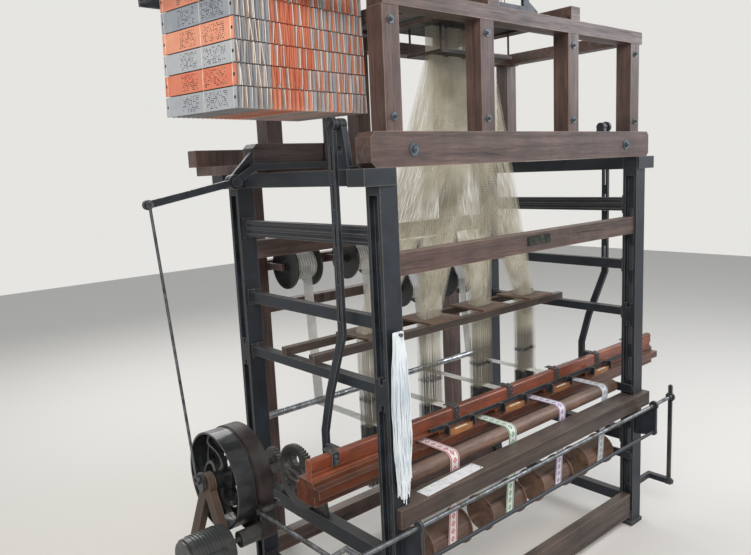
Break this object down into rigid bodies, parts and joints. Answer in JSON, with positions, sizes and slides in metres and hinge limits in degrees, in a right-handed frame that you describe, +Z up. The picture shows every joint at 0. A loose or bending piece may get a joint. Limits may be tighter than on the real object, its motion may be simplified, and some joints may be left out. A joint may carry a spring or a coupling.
{
  "type": "power loom",
  "caption": "Ribbon power loom with slotted iron frame, timber gantry, pattern-card head, harness, batten and belt drive.",
  "frame": {"origin": "middle of the bounding box, on the floor", "axes": "+X along the loom's width to the right of the weaver, +Y away from the weaver towards the warp creel, +Z up"},
  "size_m": [3.6, 1.7699, 3.71],
  "materials": {
    "iron": "worn",
    "timber": "worn",
    "dark_timber": "worn",
    "polished_wood": "gloss",
    "drum_wood": "satin",
    "steel": "satin",
    "dark_steel": "satin",
    "black_gloss": "gloss",
    "flange_black": "satin",
    "leather": "worn",
    "cord": "matt",
    "ribbon": "matt",
    "warp": "matt",
    "card": "matt",
    "motor_paint": "satin",
    "boxwood": "satin"
  },
  "bodies": {
    "loom_frame": {"front_left_post": "iron", "front_right_post": "iron", "rear_posts": "iron", "left_side_rails": "iron", "right_side_rails": "iron", "cross_beams": "dark_timber", "breast_plank": "dark_timber", "low_plank": "dark_timber", "gantry_lower_beams": "timber", "gantry_posts": "timber", "gantry_top_beams": "timber", "frame_bolts": "dark_steel", "creel_frame": "timber", "back_bar": "steel", "warp_sheets": "warp", "woven_ribbons": "ribbon", "comber_rails": "dark_timber", "comber_boards": "boxwood", "harness_cords": "cord", "harness_weights": "dark_steel", "guide_board": "dark_timber", "head_frame": "iron", "hook_box": "steel", "card_cradle": "iron", "card_pack": "card", "pivot_brackets": "iron", "shaft_brackets": "iron", "outboard_stand": "iron", "motor": "motor_paint", "motor_stand": "timber", "front_arms": "iron", "yarn_hank": "warp"},
    "batten": {"batten_swords": "iron", "batten_hand_rail": "polished_wood", "batten_race": "polished_wood", "reeds": "steel"},
    "shuttle_row": {"shuttle_rake": "black_gloss", "shuttles": "boxwood"},
    "crank_arm_pair": {"crank_arms": "iron"},
    "crank_shaft": {"crankshaft": "dark_steel"},
    "drive_line": {"drive_shaft": "dark_steel", "fast_pulley": "black_gloss"},
    "idle_pulley": {"loose_pulley": "black_gloss"},
    "motor_rotor": {"motor_pulley": "dark_steel"},
    "starter": {"starting_rod": "steel", "drive_belt": "leather"},
    "start_lever": {"rod_lever": "iron"},
    "front_roller": {"breast_roller": "boxwood"},
    "drums": {"take_up_drums": "drum_wood"},
    "pawl": {"take_up_pawl": "dark_steel"},
    "bobbin_1": {"warp_bobbin_1": "flange_black"},
    "bobbin_2": {"warp_bobbin_2": "flange_black"},
    "bobbin_3": {"warp_bobbin_3": "flange_black"},
    "bobbin_4": {"warp_bobbin_4": "flange_black"},
    "lift_beam": {"lift_lever": "iron"},
    "lift_link": {"lift_rod": "steel"},
    "griffe_frame": {"griffe": "dark_steel"},
    "cylinder_carriage": {"cylinder_slide": "dark_steel", "card_chain": "card"},
    "pattern_cylinder": {"card_cylinder": "boxwood"}
  },
  "joints": [
    {"name": "batten_swing", "type": "hinge", "parent": "loom_frame", "child": "batten", "pos_m": [0, -0.465, 2.6], "axis": [-1, 0, 0], "range_deg": [0, 2.05]},
    {"name": "shuttle_slide", "type": "slide", "parent": "batten", "child": "shuttle_row", "axis": [1, 0, 0], "range_m": [-0.47, 0]},
    {"name": "crank_arm_hinge", "type": "hinge", "parent": "batten", "child": "crank_arm_pair", "pos_m": [0, -0.29, 0.843], "axis": [-1, 0, 0], "range_deg": [-2.1, 0]},
    {"name": "crankshaft_turn", "type": "hinge", "parent": "loom_frame", "child": "crank_shaft", "pos_m": [0, -0.08194, 0.862], "axis": [1, 0, 0], "continuous": true},
    {"name": "drive_shaft_turn", "type": "hinge", "parent": "loom_frame", "child": "drive_line", "pos_m": [-1.3, 0.145, 0.884], "axis": [1, 0, 0], "continuous": true},
    {"name": "loose_pulley_turn", "type": "hinge", "parent": "loom_frame", "child": "idle_pulley", "pos_m": [-1.3675, 0.145, 0.884], "axis": [1, 0, 0], "continuous": true},
    {"name": "motor_turn", "type": "hinge", "parent": "loom_frame", "child": "motor_rotor", "pos_m": [-1.4175, -0.075, 0.655], "axis": [1, 0, 0], "continuous": true},
    {"name": "starting_rod_slide", "type": "slide", "parent": "loom_frame", "child": "starter", "axis": [1, 0, 0], "range_m": [-0.1, 0]},
    {"name": "rod_lever_hinge", "type": "hinge", "parent": "loom_frame", "child": "start_lever", "pos_m": [1.27, -0.855, 0.25], "axis": [0, -1, 0], "range_deg": [0, 9.8]},
    {"name": "roller_turn", "type": "hinge", "parent": "loom_frame", "child": "front_roller", "pos_m": [0, -0.6, 0.932], "axis": [1, 0, 0], "continuous": true},
    {"name": "drum_turn", "type": "hinge", "parent": "loom_frame", "child": "drums", "pos_m": [0, -0.52, 0.48], "axis": [1, 0, 0], "continuous": true},
    {"name": "pawl_hinge", "type": "hinge", "parent": "loom_frame", "child": "pawl", "pos_m": [-0.954, -0.55, 0.585], "axis": [1, 0, 0], "range_deg": [0, 20]},
    {"name": "bobbin_1_turn", "type": "hinge", "parent": "loom_frame", "child": "bobbin_1", "pos_m": [-0.58, 0.645, 1.83], "axis": [1, 0, 0], "continuous": true},
    {"name": "bobbin_2_turn", "type": "hinge", "parent": "loom_frame", "child": "bobbin_2", "pos_m": [-0.11, 0.645, 1.83], "axis": [1, 0, 0], "continuous": true},
    {"name": "bobbin_3_turn", "type": "hinge", "parent": "loom_frame", "child": "bobbin_3", "pos_m": [0.36, 0.645, 1.56], "axis": [1, 0, 0], "continuous": true},
    {"name": "bobbin_4_turn", "type": "hinge", "parent": "loom_frame", "child": "bobbin_4", "pos_m": [0.83, 0.645, 1.56], "axis": [1, 0, 0], "continuous": true},
    {"name": "lift_lever_hinge", "type": "hinge", "parent": "loom_frame", "child": "lift_beam", "pos_m": [-1.265, 0.142, 2.367], "axis": [0, -1, 0], "range_deg": [0, 9.4]},
    {"name": "lift_rod_hinge", "type": "hinge", "parent": "lift_beam", "child": "lift_link", "pos_m": [-1.72, 0.123, 2.285], "axis": [0, -1, 0], "range_deg": [-10.3, 0]},
    {"name": "griffe_slide", "type": "slide", "parent": "loom_frame", "child": "griffe_frame", "axis": [0, 0, 1], "range_m": [0, 0.098]},
    {"name": "cylinder_slide_joint", "type": "slide", "parent": "loom_frame", "child": "cylinder_carriage", "axis": [1, 0, 0], "range_m": [0, 0.06]},
    {"name": "cylinder_turn", "type": "hinge", "parent": "cylinder_carriage", "child": "pattern_cylinder", "pos_m": [-0.405, -0.23, 3.4], "axis": [0, 1, 0], "continuous": true, "deforming": ["card_chain"]}
  ],
  "couplings": [
    {"joint": "crank_arm_hinge", "follows": "batten_swing", "ratio": -1},
    {"joint": "drive_shaft_turn", "follows": "crankshaft_turn", "ratio": -2.4545},
    {"joint": "motor_turn", "follows": "loose_pulley_turn", "ratio": 6.25},
    {"joint": "rod_lever_hinge", "follows": "starting_rod_slide", "rad_per_m": -1.7065},
    {"joint": "lift_rod_hinge", "follows": "lift_lever_hinge", "ratio": -1.087},
    {"joint": "griffe_slide", "follows": "lift_lever_hinge", "m_per_rad": 0.591}
  ]
}
